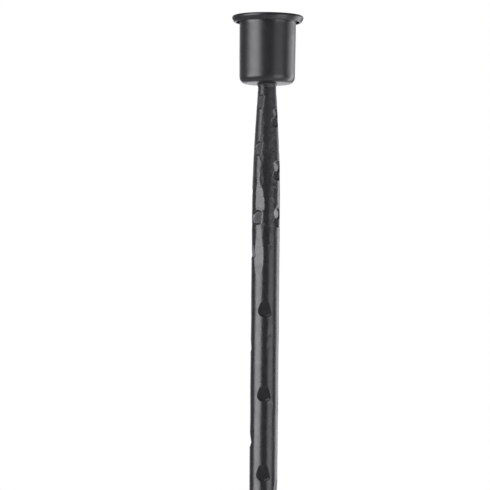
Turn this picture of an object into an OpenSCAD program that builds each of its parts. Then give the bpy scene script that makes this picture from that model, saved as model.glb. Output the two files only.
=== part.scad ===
// Garden torch on a hammered steel pole, with a welded cup that holds a lift-out oil lamp.
// The pole comes apart at a sleeve joint and stands on a spike pushed into the ground.
// The origin is on the pole's axis at ground level. +Z is up, and the front faces -Y.
// Angles round the pole are counted from the front, positive towards +X.

/* [Pole] */
// Outside diameter of the pole's tube
pole_d = 25.4; // [24:0.1:28]
// Wall thickness of the pole's tube
pole_wall = 2.4; // [2.2:0.1:3]
// Height of the cup's underside above the ground
cup_base_z = 1208; // [1150:1:1300]
// Height of the joint between the pole's two sections
joint_z = 640; // [600:1:660]
// Length of the joining sleeve, half of it in each section
sleeve_len = 170; // [120:1:180]

/* [Forged taper] */
// Height over which the four flats run out into the round tube
flats_len = 117; // [100:1:130]
// Height over which the corners between the flats narrow
corner_len = 52; // [40:1:70]
// Width across the flats at the top
taper_flats = 14; // [12:0.5:15]
// Width across the rounded corners at the top
taper_corners = 17.5; // [16:0.5:18.5]
// Angle from the front to the middle of the front flat
flats_turn = 12; // [0:1:45]

/* [Hammer marks] */
// Radius of the hammer's round face
mark_r = 7.5; // [6:0.1:8.5]
// Depth of a mark at its middle
mark_depth = 0.85; // [0.5:0.05:1]
// Tilt of the hammer's face, which leaves one edge of a mark sharp
mark_tilt = 8; // [7:0.5:10]

/* [Cup] */
// Outside diameter below the rim
cup_mouth_d = 51.6; // [51:0.1:53]
// Outside diameter above the base's corner
cup_base_d = 50.8; // [50.4:0.1:51.5]
// Height from the underside to the top of the rim
cup_h = 62; // [60:1:70]
// Thickness of the cup's sheet
cup_sheet = 1.2; // [1:0.1:1.3]
// Outside radius of the base's corner
cup_corner_r = 4; // [3:0.5:5]
// Outside diameter of the rolled rim
rim_d = 65.4; // [64:0.2:67]
// Radius of the rim's roll
rim_roll_r = 2.6; // [2.4:0.1:3]

/* [Oil lamp] */
// Outside diameter of the canister
canister_d = 45; // [42:0.5:46]
// Height of the canister up to its seam
canister_h = 34; // [30:1:35]
// Outside diameter of the canister's neck
neck_d = 24; // [22:0.5:24]
// Diameter of the wick
wick_d = 6.8; // [6:0.1:6.8]

/* [Ground spike] */
// Diameter of the spike's rod
spike_d = 12; // [11:0.5:14]
// Length of the spike below the ground
spike_len = 254; // [200:1:300]
// Length of the foot plate
foot_len = 114; // [90:1:130]
// Width of the foot plate
foot_w = 34; // [33:1:45]

/* [Hidden] */
$fn = 96;

eps = 0.01;
slip = 0.08;             // radial gap of a sliding fit
pole_r = pole_d / 2;
bore_r = pole_r - pole_wall;
satin_black = [0.12, 0.12, 0.125];
bare_steel = [0.62, 0.62, 0.6];
brass = [0.78, 0.62, 0.32];

// Each row of marks: [angle, distance of its first mark below the section's top, pitch, number of marks]
upper_mark_rows = [[0, 211, 76, 4], [-90, 160, 87, 4], [180, 175, 80, 4], [130, 215, 80, 4], [72, 369, 80, 1]];
lower_mark_rows = [[0, 100, 76, 7], [-90, 138, 82, 6], [180, 118, 80, 6], [90, 150, 80, 6]];
// Marks on each corner of the taper: [corner's number, distance below the cup, part of full depth]
corner_marks = [[0, 18, 0.9], [0, 61, 1], [0, 124, 1], [1, 28, 0.8], [1, 79, 1], [1, 122, 1],
                [2, 30, 0.9], [2, 75, 1], [2, 112, 1], [3, 21, 0.9], [3, 66, 1], [3, 110, 1]];

weld_h = 3;
pole_top_z = cup_base_z - weld_h;
flats_angle = atan((pole_d - taper_flats) / 2 / flats_len);
corner_angle = atan((pole_d - taper_corners) / 2 / corner_len);
first_corner = flats_turn - 45;

plate_t = 5;             // foot plate
plug_flange_t = 3;
plug_len = 32;
shank_r = 4.5;           // the spike's riveted end
section_z = plate_t + plug_flange_t;

sleeve_wall = 2;
sleeve_r = bore_r - slip;
rivet_r = 2.5;
rivet_head_r = 4.6;
rivet_z = [30, 62];      // above the joint
screw_r = 4;
screw_z = joint_z - 25;
nut_flats = 13;
nut_y = pole_r + 6.5;
head_r = 6.5;
head_y = [nut_y + 0.6, nut_y + 12.6];
bar_r = 2.5;
bar_len = 46;
bar_y = nut_y + 7.4;

canister_r = canister_d / 2;
can_wall = 0.8;
can_z = cup_base_z + cup_sheet;
seam_z = can_z + canister_h;
neck_r = neck_d / 2;
neck_bore_r = neck_r - 1;
neck_z = seam_z + 7.6;
gasket_t = 1;
holder_t = 1;
holder_z = neck_z + gasket_t;
ring_r = neck_r + 3.6;
ring_bore_r = neck_r + 0.75;
ring_top_z = holder_z + holder_t + 1.4;
tube_bore_r = wick_d / 2 + 0.1;
tube_r = tube_bore_r + 1;
tube_top_z = ring_top_z + 4.6;
wick_top_z = tube_top_z + 3.4;
snuffer_r = tube_r + 2.2;
snuffer_wall = 1;
snuffer_top_z = wick_top_z + 2.6;
knob_r = 3;

// ---- shared shapes ----

// The hammer's face pressed into a surface at surface_r. A positive tilt makes the mark deepest at its lower edge.
module hammer_mark(angle, z, surface_r, tilt, depth = mark_depth) {
    rotate([0, 0, angle])
        translate([0, depth - surface_r, z])
            rotate([tilt, 0, 0])
                rotate([90, 0, 0])
                    cylinder(r = mark_r, h = 8);
}

module mark_rows(rows, top_z) {
    for (row = rows)
        for (i = [0 : row[3] - 1])
            hammer_mark(row[0], top_z - row[1] - row[2] * i, pole_r, mark_tilt);
}

// A round bar along the line from the axis out to the back of the pole
module back_bar(r, y0, y1, z) {
    translate([0, y0, z])
        rotate([-90, 0, 0])
            cylinder(r = r, h = y1 - y0);
}

// ---- head ----

// Half section of the drawn cup, without its rim
module cup_wall_section(inset) {
    mouth_r = cup_mouth_d / 2 - inset;
    base_r = cup_base_d / 2 - inset;
    turn_r = cup_base_d / 2 - cup_corner_r;
    neck_top = cup_h - rim_roll_r;
    polygon([[0, inset], [turn_r, inset], [turn_r, cup_corner_r], [base_r, cup_corner_r],
             [mouth_r, neck_top], [0, neck_top]]);
    translate([turn_r, cup_corner_r])
        circle(r = cup_corner_r - inset);
}

// Half section of the rim: the sheet turns outwards over a neck and is rolled down and under
module rim_section() {
    roll_c = [rim_d / 2 - rim_roll_r, cup_h - rim_roll_r];
    neck_r = roll_c[0] - cup_mouth_d / 2;
    neck_c = [roll_c[0], cup_h - cup_sheet - neck_r];
    intersection() {
        translate(neck_c)
            difference() {
                circle(r = neck_r + cup_sheet);
                circle(r = neck_r);
            }
        translate([neck_c[0] - 10, neck_c[1]])
            square([10, 10]);
    }
    difference() {
        translate(roll_c)
            circle(r = rim_roll_r);
        translate(roll_c)
            circle(r = rim_roll_r - cup_sheet);
        translate(roll_c)
            polygon([[0, 0], [0, 9], [-9, 9], [-9, -7]]);
    }
}

module cup() {
    color(satin_black)
        translate([0, 0, cup_base_z])
            rotate_extrude() {
                neck_z = cup_h - cup_sheet - (rim_d / 2 - rim_roll_r - cup_mouth_d / 2);
                intersection() {
                    difference() {
                        cup_wall_section(0);
                        cup_wall_section(cup_sheet);
                    }
                    square([cup_mouth_d, neck_z + eps]);
                }
                rim_section();
            }
}

module cup_weld() {
    weld_r = taper_corners / 2 + 2.1;
    color(satin_black)
        translate([0, 0, pole_top_z])
            rotate_extrude()
                difference() {
                    square([weld_r, weld_h]);
                    translate([weld_r, 0])
                        scale([0.72, 1])
                            circle(r = weld_h - 0.3);
                }
}

// ---- pole ----

// Space outside one flat of the taper
module flat_cut(i) {
    rotate([0, 0, flats_turn + 90 * i])
        translate([0, -taper_flats / 2, pole_top_z])
            rotate([-flats_angle, 0, 0])
                translate([-pole_d, -pole_d, -1.5 * flats_len])
                    cube([2 * pole_d, pole_d, 2 * flats_len]);
}

module upper_pole() {
    color(satin_black)
        difference() {
            union() {
                translate([0, 0, joint_z])
                    cylinder(r = pole_r, h = pole_top_z - corner_len - joint_z);
                translate([0, 0, pole_top_z - corner_len])
                    cylinder(r1 = pole_r, r2 = taper_corners / 2, h = corner_len);
            }
            for (i = [0 : 3])
                flat_cut(i);
            translate([0, 0, joint_z - 1])
                cylinder(r = bore_r, h = pole_top_z - flats_len - 20 - joint_z + 1);
            translate([0, 0, pole_top_z - flats_len - 20])
                cylinder(r1 = bore_r, r2 = 3, h = flats_len + 8);
            for (z = rivet_z)
                back_bar(rivet_r, 0, pole_r + 1, joint_z + z);
            mark_rows(upper_mark_rows, cup_base_z);
            for (m = corner_marks) {
                down = m[1] - weld_h;
                corner_r = min(pole_r, taper_corners / 2 + down * tan(corner_angle));
                lean = down < corner_len ? corner_angle : 0;
                hammer_mark(first_corner + 90 * m[0], cup_base_z - m[1], corner_r, -mark_tilt * 0.5 - lean,
                            mark_depth * m[2]);
            }
        }
}

module joining_sleeve() {
    color(bare_steel)
        difference() {
            translate([0, 0, joint_z - sleeve_len / 2])
                cylinder(r = sleeve_r, h = sleeve_len);
            translate([0, 0, joint_z - sleeve_len / 2 - 1])
                cylinder(r = sleeve_r - sleeve_wall, h = sleeve_len + 2);
            for (z = rivet_z)
                back_bar(rivet_r, 0, pole_r, joint_z + z);
        }
}

module sleeve_rivets() {
    color(satin_black)
        for (z = rivet_z) {
            back_bar(rivet_r, sleeve_r - sleeve_wall - 0.4, pole_r + 0.6, joint_z + z);
            intersection() {
                translate([0, pole_r - 2.6, joint_z + z])
                    sphere(r = 5.2);
                back_bar(rivet_head_r, pole_r + 0.25, pole_r + 4, joint_z + z);
            }
        }
}

module lower_pole() {
    color(satin_black)
        difference() {
            translate([0, 0, section_z])
                cylinder(r = pole_r, h = joint_z - section_z);
            translate([0, 0, section_z - 1])
                cylinder(r = bore_r, h = joint_z - section_z + 2);
            back_bar(screw_r + 0.3, 0, pole_r + 1, screw_z);
            mark_rows(lower_mark_rows, joint_z);
        }
}

// ---- clamp at the joint ----

module clamp_nut() {
    color(satin_black)
        difference() {
            translate([0, pole_r - 2, screw_z])
                rotate([-90, 0, 0])
                    cylinder(r = nut_flats / sqrt(3), h = nut_y - pole_r + 2, $fn = 6);
            translate([0, 0, screw_z - nut_flats])
                cylinder(r = pole_r, h = 2 * nut_flats);
            back_bar(screw_r + 0.05, 0, nut_y + 1, screw_z);
        }
}

module clamp_screw() {
    color(bare_steel)
        difference() {
            union() {
                back_bar(screw_r, bore_r, head_y[0] + 1, screw_z);
                back_bar(head_r, head_y[0], head_y[1], screw_z);
            }
            translate([-head_r - 1, bar_y, screw_z])
                rotate([0, 90, 0])
                    cylinder(r = bar_r + 0.05, h = 2 * head_r + 2);
        }
}

module tommy_bar() {
    color(bare_steel)
        translate([0, bar_y, screw_z])
            rotate([0, 90, 0]) {
                translate([0, 0, -bar_len / 2])
                    cylinder(r = bar_r, h = bar_len);
                for (side = [-1, 1])
                    translate([0, 0, side * bar_len / 2])
                        sphere(r = bar_r + 1.3);
            }
}

// ---- foot and spike ----

module bottom_plug() {
    color(satin_black)
        difference() {
            union() {
                translate([0, 0, plate_t])
                    cylinder(r = pole_r, h = plug_flange_t);
                translate([0, 0, plate_t + 1])
                    cylinder(r = bore_r - 0.05, h = plug_len + plug_flange_t - 1);
            }
            cylinder(r = shank_r + 0.02, h = 2 * plug_len);
        }
}

module plug_weld() {
    weld_w = 3.4;
    color(satin_black)
        translate([0, 0, plate_t])
            rotate_extrude()
                translate([pole_r, 0])
                    difference() {
                        square([weld_w, weld_w]);
                        translate([weld_w, weld_w])
                            circle(r = weld_w - 0.3);
                    }
}

module foot_plate() {
    color(satin_black)
        linear_extrude(plate_t)
            difference() {
                intersection() {
                    square([foot_len, foot_w], center = true);
                    circle(r = foot_len / 2 - 0.5);
                }
                circle(r = shank_r + 0.02);
            }
}

module ground_spike() {
    point_len = 54;
    color(satin_black) {
        cylinder(r = shank_r, h = plate_t + plug_flange_t + plug_len + 1.5);
        translate([0, 0, point_len - spike_len])
            cylinder(r = spike_d / 2, h = spike_len - point_len);
        translate([0, 0, -spike_len])
            cylinder(r1 = 1, r2 = spike_d / 2, h = point_len);
    }
}

module side_tines() {
    tine_len = 120;
    point_len = 26;
    tine_r = 4;
    color(satin_black)
        for (side = [-1, 1])
            translate([side * (foot_len / 2 - 13), 0, -tine_len]) {
                translate([0, 0, point_len])
                    cylinder(r = tine_r, h = tine_len - point_len);
                cylinder(r1 = 0.8, r2 = tine_r, h = point_len);
            }
}

// ---- oil lamp ----

module canister() {
    corner_r = 3;
    color(bare_steel)
        translate([0, 0, can_z])
            rotate_extrude()
                difference() {
                    union() {
                        square([canister_r - corner_r, canister_h]);
                        translate([0, corner_r])
                            square([canister_r, canister_h - corner_r]);
                        translate([canister_r - corner_r, corner_r])
                            circle(r = corner_r);
                    }
                    translate([0, can_wall])
                        square([canister_r - corner_r, canister_h]);
                    translate([0, corner_r])
                        square([canister_r - can_wall, canister_h]);
                    translate([canister_r - corner_r, corner_r])
                        circle(r = corner_r - can_wall);
                }
}

// Shoulder with its seam and the threaded neck
module canister_top() {
    thread_r = neck_r + 0.55;
    color(bare_steel)
        translate([0, 0, seam_z])
            rotate_extrude() {
                polygon([[neck_bore_r, 2.2], [canister_r - 1.6, 0], [canister_r, 0], [canister_r, 1.4],
                         [canister_r - 1.4, 1.4], [neck_r, 3.2], [neck_r, neck_z - seam_z],
                         [neck_bore_r, neck_z - seam_z]]);
                translate([canister_r - 0.4, 0.9])
                    circle(r = 0.9);
                for (z = [4.4, 6.2])
                    translate([0, z])
                        polygon([[neck_r - 0.3, -0.6], [thread_r, 0], [neck_r - 0.3, 0.6]]);
            }
}

module gasket() {
    color([0.08, 0.08, 0.08])
        translate([0, 0, neck_z])
            difference() {
                cylinder(r = neck_r + 0.3, h = gasket_t);
                translate([0, 0, -1])
                    cylinder(r = neck_bore_r - 2, h = gasket_t + 2);
            }
}

module wick_holder() {
    color(bare_steel)
        translate([0, 0, holder_z])
            difference() {
                cylinder(r = neck_r + 0.4, h = holder_t);
                translate([0, 0, -1])
                    cylinder(r = tube_r, h = holder_t + 2);
            }
}

module wick_tube() {
    color(brass)
        difference() {
            translate([0, 0, holder_z - 6])
                cylinder(r = tube_r, h = tube_top_z - holder_z + 6);
            translate([0, 0, holder_z - 7])
                cylinder(r = tube_bore_r, h = tube_top_z - holder_z + 8);
        }
}

// Knurled ring that screws onto the neck and clamps the wick holder and gasket
module screw_ring() {
    teeth = 36;
    skirt_z = neck_z - 4.2;
    color(brass)
        difference() {
            translate([0, 0, skirt_z])
                cylinder(r = ring_r, h = ring_top_z - skirt_z);
            translate([0, 0, skirt_z - 1])
                cylinder(r = ring_bore_r, h = holder_z + holder_t - skirt_z + 1);
            translate([0, 0, skirt_z])
                cylinder(r = neck_bore_r - 2.4, h = 20);
            for (i = [0 : teeth - 1])
                rotate([0, 0, 360 / teeth * i])
                    translate([ring_r + 0.35, 0, skirt_z + 1.2])
                        cylinder(r = 0.75, h = ring_top_z - skirt_z - 2.4, $fn = 24);
        }
}

module wick() {
    color("ivory")
        translate([0, 0, can_z + 2])
            cylinder(r = wick_d / 2, h = wick_top_z - can_z - 2);
}

module snuffer() {
    base_z = holder_z + holder_t;
    color(brass)
        difference() {
            translate([0, 0, base_z])
                cylinder(r = snuffer_r, h = snuffer_top_z - base_z);
            translate([0, 0, base_z - 1])
                cylinder(r = snuffer_r - snuffer_wall, h = snuffer_top_z - snuffer_wall - base_z + 1);
        }
}

module snuffer_knob() {
    color(brass) {
        translate([0, 0, snuffer_top_z])
            cylinder(r = 1.5, h = 2);
        translate([0, 0, snuffer_top_z + 1 + knob_r * 0.7])
            intersection() {
                sphere(r = knob_r);
                cube([8, 8, 1.4 * knob_r], center = true);
            }
    }
}

cup();
cup_weld();
upper_pole();
joining_sleeve();
sleeve_rivets();
lower_pole();
clamp_nut();
clamp_screw();
tommy_bar();
bottom_plug();
plug_weld();
foot_plate();
ground_spike();
side_tines();
canister();
canister_top();
gasket();
wick_holder();
wick_tube();
screw_ring();
wick();
snuffer();
snuffer_knob();
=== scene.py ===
"""Hammered steel garden torch with a lift-out oil lamp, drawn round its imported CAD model.

Shapes are worked out in millimetres and turned into metres where a mesh is made.
Angles round an upright piece are counted from the front (-Y), positive towards +X.
"""

import math

import bmesh
import bpy
import numpy as np
from mathutils import Matrix, Vector


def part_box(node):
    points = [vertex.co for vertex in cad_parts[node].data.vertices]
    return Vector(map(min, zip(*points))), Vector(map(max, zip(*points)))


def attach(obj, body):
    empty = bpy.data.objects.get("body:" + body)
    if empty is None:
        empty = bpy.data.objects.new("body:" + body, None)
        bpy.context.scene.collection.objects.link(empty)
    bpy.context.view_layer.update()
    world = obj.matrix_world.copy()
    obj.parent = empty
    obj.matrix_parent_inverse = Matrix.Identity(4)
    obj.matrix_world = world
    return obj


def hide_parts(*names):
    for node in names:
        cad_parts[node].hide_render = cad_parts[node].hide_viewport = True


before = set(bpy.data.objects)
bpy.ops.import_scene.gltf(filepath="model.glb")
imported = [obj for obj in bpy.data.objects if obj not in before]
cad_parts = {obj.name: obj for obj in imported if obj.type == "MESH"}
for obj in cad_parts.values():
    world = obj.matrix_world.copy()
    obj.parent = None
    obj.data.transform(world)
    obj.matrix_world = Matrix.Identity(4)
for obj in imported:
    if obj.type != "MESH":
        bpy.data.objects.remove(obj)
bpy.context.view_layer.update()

MM = 0.001
TURN = 2 * math.pi


def box_mm(node):
    """A CAD node's lowest and highest corners at rest, in millimetres."""
    low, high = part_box(node)
    return np.array(low) / MM, np.array(high) / MM


def height_of(node):
    """A CAD node's lowest and highest z, in millimetres."""
    low, high = box_mm(node)
    return low[2], high[2]


def radius_of(node):
    """Half of a CAD node's width along X, in millimetres."""
    low, high = box_mm(node)
    return (high[0] - low[0]) / 2


def span_of(node):
    """A CAD node's lowest and highest z, and half of its width, in millimetres."""
    return *height_of(node), radius_of(node)


# ---- sizes, in millimetres ----

JOINT_Z, POLE_TOP = height_of("upper_pole")
LOWER_Z = height_of("lower_pole")[0]
POLE_R = radius_of("lower_pole")
BORE_R = radius_of("joining_sleeve") + 0.08
CUP_Z, RIM_Z = height_of("cup")

# The upper pole's forged taper, the turn of its flats, and how much the blows spread the tube
FLATS_LEN = 117.0
TOP_HALF_DEPTH = 7.5
TOP_HALF_WIDTH = 7.85
FLATS_TURN = math.radians(12)
FLAT_SLOPE = (POLE_R - TOP_HALF_DEPTH) / FLATS_LEN
SPREAD = 0.2


# ---- mesh helpers ----


def skin(rings, closed=False):
    """Vertices and faces of a surface through rings, each an (m, 3) array. A (1, 3) ring is a point."""
    starts = np.cumsum([0] + [len(ring) for ring in rings])
    faces = []
    for a in range(len(rings) if closed else len(rings) - 1):
        b = (a + 1) % len(rings)
        i = np.arange(max(len(rings[a]), len(rings[b])))
        j = (i + 1) % len(i)
        low, high = starts[a], starts[b]
        if len(rings[a]) == 1:
            strip = [np.full_like(i, low), high + j, high + i]
        elif len(rings[b]) == 1:
            strip = [low + i, low + j, np.full_like(i, high)]
        else:
            strip = [low + i, low + j, high + j, high + i]
        faces.extend(np.stack(strip, axis=1).tolist())
    return np.concatenate(rings), faces


def angles_round(segments):
    """Even angles right round."""
    return np.arange(segments) / segments * TURN


def ring_at(radius, z, segments):
    """A level ring of points. radius is one number, or a number for each angle."""
    angles = angles_round(segments)
    return np.stack([radius * np.sin(angles), -radius * np.cos(angles), np.full(segments, float(z))], axis=1)


def new_object(name, verts, faces):
    """An object in the scene, from vertices in metres and faces."""
    mesh = bpy.data.meshes.new(name)
    mesh.from_pydata(verts, [], faces)
    obj = bpy.data.objects.new(name, mesh)
    bpy.context.scene.collection.objects.link(obj)
    return obj


def even_shading(obj):
    """Shades a piece by its larger faces, and keeps its sharp edges."""
    obj.modifiers.new("even shading", "WEIGHTED_NORMAL").keep_sharp = True


def make_piece(name, parts, body, nodes, finish, weighted=True):
    """One object from several skins, riding on a body and standing for CAD nodes. Its finish is a
    slot's name, which is not used, and a material."""
    slot, material = finish
    verts, faces = [], []
    for part_verts, part_faces in parts:
        start = len(verts)
        verts.extend((np.asarray(part_verts) * MM).tolist())
        faces.extend([[start + i for i in face] for face in part_faces])
    obj = new_object(name, verts, faces)
    mesh = obj.data
    bm = bmesh.new()
    bm.from_mesh(mesh)
    bmesh.ops.recalc_face_normals(bm, faces=bm.faces)
    if bm.calc_volume(signed=True) < 0:
        bmesh.ops.reverse_faces(bm, faces=bm.faces)
    bm.to_mesh(mesh)
    bm.free()
    mesh.shade_smooth()
    mesh.materials.append(material)
    if weighted:
        even_shading(obj)
    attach(obj, body)
    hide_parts(*nodes)
    return obj


def arc(centre, radius, start, end, steps=8):
    """Points on an arc in the (r, z) half plane, its angles in degrees from +r towards +z."""
    t = np.radians(np.linspace(start, end, steps + 1))
    return [(centre[0] + radius * math.cos(a), centre[1] + radius * math.sin(a)) for a in t]


def oval(centre, half_width, half_height, start, end, steps=8):
    """Points on an oval in the (r, z) half plane, as arc() makes them."""
    return [(r, centre[1] + (z - centre[1]) * half_height / half_width)
            for r, z in arc(centre, half_width, start, end, steps)]


def rounded(*corners, steps=5):
    """Points along an open outline whose corners are (r, z) or (r, z, rounding)."""
    points = []
    for k, corner in enumerate(corners):
        here = np.array(corner[:2], float)
        if len(corner) == 2 or k in (0, len(corners) - 1):
            points.append(tuple(here))
            continue
        back = np.array(corners[k - 1][:2], float) - here
        ahead = np.array(corners[k + 1][:2], float) - here
        back_len, ahead_len = np.linalg.norm(back), np.linalg.norm(ahead)
        back, ahead = back / back_len, ahead / ahead_len
        between = back + ahead
        if np.linalg.norm(between) < 1e-6:
            points.append(tuple(here))
            continue
        half = math.acos(np.clip(back @ ahead, -1, 1)) / 2
        reach = min(corner[2] / math.tan(half), 0.49 * back_len, 0.49 * ahead_len)
        radius = reach * math.tan(half)
        middle = here + between / np.linalg.norm(between) * radius / math.sin(half)
        a = here + back * reach - middle
        b = here + ahead * reach - middle
        sweep = math.atan2(a[0] * b[1] - a[1] * b[0], a @ b)
        for s in np.linspace(0, sweep, steps + 1):
            c, d = math.cos(s), math.sin(s)
            points.append((middle[0] + a[0] * c - a[1] * d, middle[1] + a[0] * d + a[1] * c))
    return points


def placed(points, axis, at):
    """Points of an upright turned shape, with its axis laid along axis and its foot moved to at."""
    turn = Vector((0, 0, 1)).rotation_difference(Vector(axis)).to_matrix()
    return np.asarray(points) @ np.array(turn).T + np.asarray(at, float)


def turned(outline, segments=96, relief=None, axis=(0, 0, 1), at=(0, 0, 0)):
    """A shape turned from an (r, z) outline. relief(angle, r, z) gives new radii. It closes on itself
    if neither end is on the axis."""
    angles = angles_round(segments)
    rings = []
    for r, z in outline:
        if r < 1e-6:
            ring = np.array([[0.0, 0.0, z]])
        else:
            ring = ring_at(relief(angles, r, z) if relief else r, z, segments)
        rings.append(placed(ring, axis, at))
    return skin(rings, closed=outline[0][0] > 1e-6 and outline[-1][0] > 1e-6)


def ripple(angle, z, seed, lengths, most_round, waves=14):
    """Seeded unevenness of about -1 to 1, from waves of the given lengths along z."""
    rng = np.random.default_rng(seed)
    total = 0
    for _ in range(waves):
        length = rng.uniform(*lengths)
        turns = rng.integers(-most_round, most_round + 1)
        total = total + np.cos(turns * angle + TURN * z / length + rng.uniform(0, TURN))
    return total / math.sqrt(waves)


def smooth_step(x):
    """0 to 1, with soft ends, as x goes from 0 to 1."""
    x = np.clip(x, 0, 1)
    return x * x * (3 - 2 * x)


def smooth_min(a, b, reach):
    """The lower of two values, with the edge between them rounded over reach."""
    h = np.clip(reach - np.abs(a - b), 0, None) / reach
    return np.minimum(a, b) - h * h * reach / 4


# ---- materials ----


def new_material(name):
    """A node material, with its tree and its shader."""
    material = bpy.data.materials.new(name)
    material.use_nodes = True
    tree = material.node_tree
    return material, tree, tree.nodes["Principled BSDF"]


def set_inputs(tree, node, inputs):
    """Sets a node's named inputs to values, or links them where a socket is given."""
    for name, value in inputs.items():
        if isinstance(value, bpy.types.NodeSocket):
            tree.links.new(value, node.inputs[name])
        else:
            node.inputs[name].default_value = value


def add_node(tree, kind, inputs):
    """A new node of a kind, with its inputs set."""
    node = tree.nodes.new("ShaderNode" + kind)
    set_inputs(tree, node, inputs)
    return node


def noise(tree, scale, detail=3.0, roughness=0.55, stretch=(1, 1, 1)):
    """Noise fixed to the piece, its scale in waves per metre."""
    coords = add_node(tree, "TexCoord", {})
    mapping = add_node(tree, "Mapping", {"Scale": stretch, "Vector": coords.outputs["Object"]})
    inputs = {"Scale": scale, "Detail": detail, "Roughness": roughness, "Vector": mapping.outputs["Vector"]}
    return add_node(tree, "TexNoise", inputs).outputs["Fac"]


def spread(tree, value, low, high, start=0.3, end=0.7):
    """Maps a noise value onto low to high."""
    inputs = {"Value": value, "From Min": start, "From Max": end, "To Min": low, "To Max": high}
    return add_node(tree, "MapRange", inputs).outputs["Result"]


def ramp(tree, value, *stops):
    """A colour ramp through (place, colour) stops."""
    node = add_node(tree, "ValToRGB", {"Fac": value})
    elements = node.color_ramp.elements
    elements[0].position, elements[0].color = stops[0][0], (*stops[0][1], 1)
    elements[1].position, elements[1].color = stops[-1][0], (*stops[-1][1], 1)
    for place, colour in stops[1:-1]:
        elements.new(place).color = (*colour, 1)
    return node.outputs["Color"]


def mix_colours(tree, share, a, b):
    """Colour a where share is 0, and b where it is 1. Each may be a socket or a colour."""
    node = tree.nodes.new("ShaderNodeMix")
    node.data_type = "RGBA"
    tree.links.new(share, node.inputs["Factor"])
    for socket, colour in ((node.inputs[6], a), (node.inputs[7], b)):
        if isinstance(colour, tuple):
            socket.default_value = (*colour, 1)
        else:
            tree.links.new(colour, socket)
    return node.outputs[2]


def add_bump(tree, shader, height, distance, strength=1.0, below=None):
    """A bump layer, distance in metres. below is the normal of the layer under it."""
    node = add_node(tree, "Bump", {"Strength": strength, "Distance": distance, "Height": height})
    if below:
        tree.links.new(below, node.inputs["Normal"])
    tree.links.new(node.outputs["Normal"], shader.inputs["Normal"])
    return node.outputs["Normal"]


def arithmetic(tree, operation, *values):
    """A sum worked out by a node, from sockets and numbers."""
    node = tree.nodes.new("ShaderNodeMath")
    node.operation = operation
    for socket, value in zip(node.inputs, values):
        if isinstance(value, float):
            socket.default_value = value
        else:
            tree.links.new(value, socket)
    return node.outputs[0]


def height_share(tree, low, high):
    """0 below the height low and 1 above the height high, in millimetres."""
    place = tree.nodes.new("ShaderNodeSeparateXYZ")
    set_inputs(tree, place, {"Vector": add_node(tree, "TexCoord", {}).outputs["Object"]})
    return spread(tree, place.outputs["Z"], 0, 1, low * MM, high * MM)


def black_paint(name, roughness, grain, wear, scaled_above=None):
    """Satin black paint over steel. grain is the depth of its forged skin, in millimetres, which is
    duller, with scale under it, above the height scaled_above."""
    material, tree, shader = new_material(name)
    tone = ramp(tree, noise(tree, 160, 5), (0.3, (0.0050, 0.0050, 0.0056)), (0.72, (0.0090, 0.0088, 0.0100)))
    sharp_edges = add_node(tree, "NewGeometry", {}).outputs["Pointiness"]
    edge = spread(tree, sharp_edges, 0, 1, 0.53, 0.62)
    patch = spread(tree, noise(tree, 700, 4), 0, wear, 0.45, 0.62)
    colour = mix_colours(tree, arithmetic(tree, "MULTIPLY", edge, patch), tone, (0.075, 0.072, 0.07))
    uneven = spread(tree, noise(tree, 240, 4), roughness - 0.045, roughness + 0.055)
    if scaled_above:
        scale = height_share(tree, scaled_above, scaled_above + 25)
        uneven = arithmetic(tree, "MULTIPLY_ADD", scale, 0.12, uneven)
    set_inputs(tree, shader, {"Base Color": colour, "Roughness": uneven})
    below = add_bump(tree, shader, noise(tree, 230, 3, 0.5, (1, 1, 0.7)), grain * MM)
    add_bump(tree, shader, noise(tree, 1500, 2, 0.5), 0.035 * MM, 0.7, below)
    return material


def plated_steel():
    """Plated sheet steel, dulled, with fine scratches."""
    material, tree, shader = new_material("plated steel")
    tone = ramp(tree, noise(tree, 120, 6), (0.3, (0.35, 0.35, 0.34)), (0.7, (0.47, 0.47, 0.455)))
    uneven = spread(tree, noise(tree, 300, 5), 0.30, 0.46)
    set_inputs(tree, shader, {"Base Color": tone, "Roughness": uneven, "Metallic": 1})
    below = add_bump(tree, shader, noise(tree, 180, 2), 0.05 * MM, 0.6)
    add_bump(tree, shader, noise(tree, 900, 3, 0.6, (1, 1, 14)), 0.012 * MM, 0.8, below)
    return material


def aged_brass():
    """Turned brass with darker patches."""
    material, tree, shader = new_material("aged brass")
    tone = ramp(tree, noise(tree, 260, 6, 0.65), (0.28, (0.30, 0.17, 0.05)), (0.5, (0.58, 0.36, 0.12)),
                (0.72, (0.70, 0.46, 0.17)))
    uneven = spread(tree, noise(tree, 420, 5), 0.2, 0.38)
    set_inputs(tree, shader, {"Base Color": tone, "Roughness": uneven, "Metallic": 1})
    add_bump(tree, shader, noise(tree, 700, 3, 0.6, (1, 1, 10)), 0.015 * MM, 0.8)
    return material


def black_rubber():
    """Matt moulded rubber."""
    material, tree, shader = new_material("rubber")
    tone = ramp(tree, noise(tree, 400, 4), (0.3, (0.018, 0.018, 0.018)), (0.7, (0.032, 0.031, 0.03)))
    set_inputs(tree, shader, {"Base Color": tone, "Roughness": spread(tree, noise(tree, 600, 3), 0.62, 0.8)})
    add_bump(tree, shader, noise(tree, 2200, 2), 0.03 * MM)
    return material


def wick_fibre(top):
    """Braided fibreglass, scorched near its top, whose height is in millimetres."""
    material, tree, shader = new_material("wick fibre")
    tone = ramp(tree, noise(tree, 900, 5), (0.3, (0.62, 0.57, 0.46)), (0.7, (0.82, 0.79, 0.70)))
    colour = mix_colours(tree, height_share(tree, top - 4.5, top - 0.8), tone, (0.045, 0.035, 0.03))
    set_inputs(tree, shader, {"Base Color": colour, "Roughness": 0.9, "Sheen Weight": 0.25})
    add_bump(tree, shader, noise(tree, 2600, 3, 0.6, (1, 1, 0.25)), 0.12 * MM)
    return material


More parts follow.
